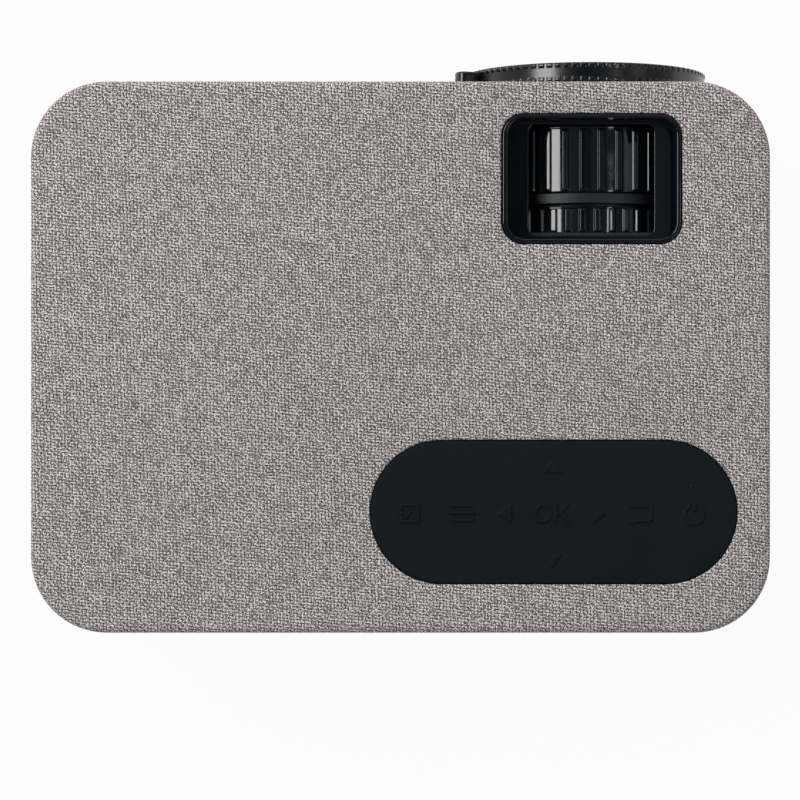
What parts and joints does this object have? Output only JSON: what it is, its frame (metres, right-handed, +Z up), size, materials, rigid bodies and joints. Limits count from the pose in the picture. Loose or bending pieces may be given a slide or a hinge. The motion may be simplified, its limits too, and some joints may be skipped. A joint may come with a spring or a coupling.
{
  "type": "desktop projector",
  "caption": "Small fabric-topped desktop projector with focus and keystone rings under a roof window, a raised-icon keypad and a pull-off lens cap.",
  "frame": {"origin": "middle of the bounding box at the bottom of the rubber feet", "axes": "+Z up, -Y out of the lens, +X to the left of a person who stands behind the projector's rear panel and looks along the beam"},
  "size_m": [0.2, 0.1548, 0.079],
  "materials": {
    "fabric": "woven",
    "housing": "fine texture",
    "gloss": "polished",
    "satin": "satin",
    "silicone": "matte",
    "rubber": "matte",
    "glass": "coated",
    "mirror": "front-silvered",
    "aluminium": "extruded",
    "steel": "plated",
    "brass": "turned",
    "board": "solder mask",
    "lcd": "polarised",
    "ribbon": "film"
  },
  "bodies": {
    "base": {"lower_housing": "housing", "upper_housing": "housing", "fabric_cover": "fabric", "front_panel": "gloss", "rear_panel": "housing", "exhaust_grille": "housing", "intake_grille": "housing", "rubber_foot_1": "rubber", "rubber_foot_2": "rubber", "rubber_foot_3": "rubber", "rubber_foot_4": "rubber", "case_screw_1": "steel", "case_screw_2": "steel", "case_screw_3": "steel", "case_screw_4": "steel", "tripod_insert": "brass", "window_bezel": "gloss", "lens_hood": "gloss", "lens_mount": "satin", "ir_window": "satin", "keypad_pad": "silicone", "keypad_board": "board", "indicator_light": "satin", "engine_case": "housing", "engine_cover": "housing", "folding_mirror": "mirror", "fresnel_output": "glass", "fresnel_input": "glass", "condenser_lens": "glass", "led_board": "aluminium", "heatsink": "aluminium", "fan_frame": "housing", "main_board": "board", "hdmi_socket": "steel", "usb_socket": "steel", "av_socket": "housing", "dc_inlet": "housing", "keypad_ribbon": "ribbon", "speaker": "steel"},
    "focus": {"focus_ring": "gloss"},
    "barrel": {"lens_barrel": "housing", "front_lens": "glass", "rear_lens": "glass"},
    "keystone": {"keystone_ring": "gloss"},
    "lcd_carrier": {"lcd_frame": "housing", "lcd_panel": "lcd"},
    "cap": {"lens_cap": "gloss"},
    "fan": {"fan_rotor": "housing"},
    "foot_screw": {"foot_stud": "steel"},
    "foot_grip": {"foot_knob": "rubber"},
    "source_key": {"key_source": "silicone"},
    "menu_key": {"key_menu": "silicone"},
    "left_key": {"key_left": "silicone"},
    "ok_key": {"key_ok": "silicone"},
    "right_key": {"key_right": "silicone"},
    "back_key": {"key_back": "silicone"},
    "power_key": {"key_power": "silicone"},
    "up_key": {"key_up": "silicone"},
    "down_key": {"key_down": "silicone"}
  },
  "joints": [
    {"name": "focus_turn", "type": "hinge", "parent": "base", "child": "focus", "pos_m": [-0.052, -0.0513, 0.041], "axis": [0, 1, 0], "range_deg": [-75, 75]},
    {"name": "barrel_slide", "type": "slide", "parent": "base", "child": "barrel", "axis": [0, -1, 0], "range_m": [-0.003, 0.003]},
    {"name": "keystone_turn", "type": "hinge", "parent": "base", "child": "keystone", "pos_m": [-0.052, -0.0353, 0.041], "axis": [0, 1, 0], "range_deg": [-20, 20]},
    {"name": "lcd_tilt", "type": "hinge", "parent": "base", "child": "lcd_carrier", "pos_m": [-0.002, 0.00375, 0.041], "axis": [0, 1, 0], "range_deg": [-4.1, 4.1]},
    {"name": "cap_pull", "type": "slide", "parent": "base", "child": "cap", "axis": [0, -1, 0], "range_m": [0, 0.06]},
    {"name": "fan_spin", "type": "hinge", "parent": "base", "child": "fan", "pos_m": [0.0884, 0.00375, 0.041], "axis": [1, 0, 0], "continuous": true},
    {"name": "foot_slide", "type": "slide", "parent": "base", "child": "foot_screw", "axis": [0, 0, -1], "range_m": [0, 0.006]},
    {"name": "foot_turn", "type": "hinge", "parent": "foot_screw", "child": "foot_grip", "pos_m": [0, -0.0573, 0.0022], "axis": [0, 0, 1], "range_deg": [0, 1080]},
    {"name": "source_press", "type": "slide", "parent": "base", "child": "source_key", "axis": [0, 0, -1], "range_m": [0, 0.0005], "stiffness_N_per_m": 200},
    {"name": "menu_press", "type": "slide", "parent": "base", "child": "menu_key", "axis": [0, 0, -1], "range_m": [0, 0.0005], "stiffness_N_per_m": 200},
    {"name": "left_press", "type": "slide", "parent": "base", "child": "left_key", "axis": [0, 0, -1], "range_m": [0, 0.0005], "stiffness_N_per_m": 200},
    {"name": "ok_press", "type": "slide", "parent": "base", "child": "ok_key", "axis": [0, 0, -1], "range_m": [0, 0.0005], "stiffness_N_per_m": 200},
    {"name": "right_press", "type": "slide", "parent": "base", "child": "right_key", "axis": [0, 0, -1], "range_m": [0, 0.0005], "stiffness_N_per_m": 200},
    {"name": "back_press", "type": "slide", "parent": "base", "child": "back_key", "axis": [0, 0, -1], "range_m": [0, 0.0005], "stiffness_N_per_m": 200},
    {"name": "power_press", "type": "slide", "parent": "base", "child": "power_key", "axis": [0, 0, -1], "range_m": [0, 0.0005], "stiffness_N_per_m": 200},
    {"name": "up_press", "type": "slide", "parent": "base", "child": "up_key", "axis": [0, 0, -1], "range_m": [0, 0.0005], "stiffness_N_per_m": 200},
    {"name": "down_press", "type": "slide", "parent": "base", "child": "down_key", "axis": [0, 0, -1], "range_m": [0, 0.0005], "stiffness_N_per_m": 200}
  ],
  "couplings": [
    {"joint": "focus_turn", "follows": "barrel_slide", "rad_per_m": 436.3},
    {"joint": "lcd_tilt", "follows": "keystone_turn", "ratio": 0.2},
    {"joint": "foot_turn", "follows": "foot_slide", "rad_per_m": 3141.5}
  ]
}
